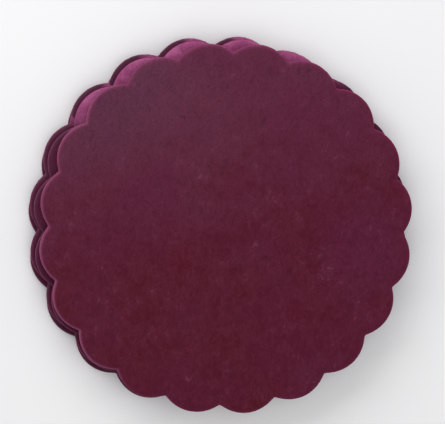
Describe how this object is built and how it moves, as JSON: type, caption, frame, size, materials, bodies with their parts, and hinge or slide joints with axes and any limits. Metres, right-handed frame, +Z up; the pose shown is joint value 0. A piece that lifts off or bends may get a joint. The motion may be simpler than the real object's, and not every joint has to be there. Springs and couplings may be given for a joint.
{
  "type": "offering plate stack",
  "caption": "Loose stack of flat round offering plates with scalloped, velvet-wrapped edges; each plate lifts off the one below.",
  "frame": {"origin": "centre of the bottom plate's underside, on the surface that the stack stands on", "axes": "+Z up through the stack; +X from the centre of the bottom plate through the crest of one of its scallops"},
  "size_m": [0.3069, 0.3044, 0.0286],
  "materials": {
    "velvet": "matte",
    "backing_felt": "matte",
    "board": "matte",
    "pad": "matte"
  },
  "bodies": {
    "plate_1": {"backing_1": "backing_felt", "board_1": "board", "pad_1": "pad", "cover_1": "velvet"},
    "plate_2": {"backing_2": "backing_felt", "board_2": "board", "pad_2": "pad", "cover_2": "velvet"},
    "plate_3": {"backing_3": "backing_felt", "board_3": "board", "pad_3": "pad", "cover_3": "velvet"},
    "plate_4": {"backing_4": "backing_felt", "board_4": "board", "pad_4": "pad", "cover_4": "velvet"}
  },
  "joints": [
    {"name": "lift_2", "type": "slide", "parent": "plate_1", "child": "plate_2", "axis": [0, 0, 1], "range_m": [0, 0.12]},
    {"name": "lift_3", "type": "slide", "parent": "plate_2", "child": "plate_3", "axis": [0, 0, 1], "range_m": [0, 0.12]},
    {"name": "lift_4", "type": "slide", "parent": "plate_3", "child": "plate_4", "axis": [0, 0, 1], "range_m": [0, 0.12]}
  ]
}
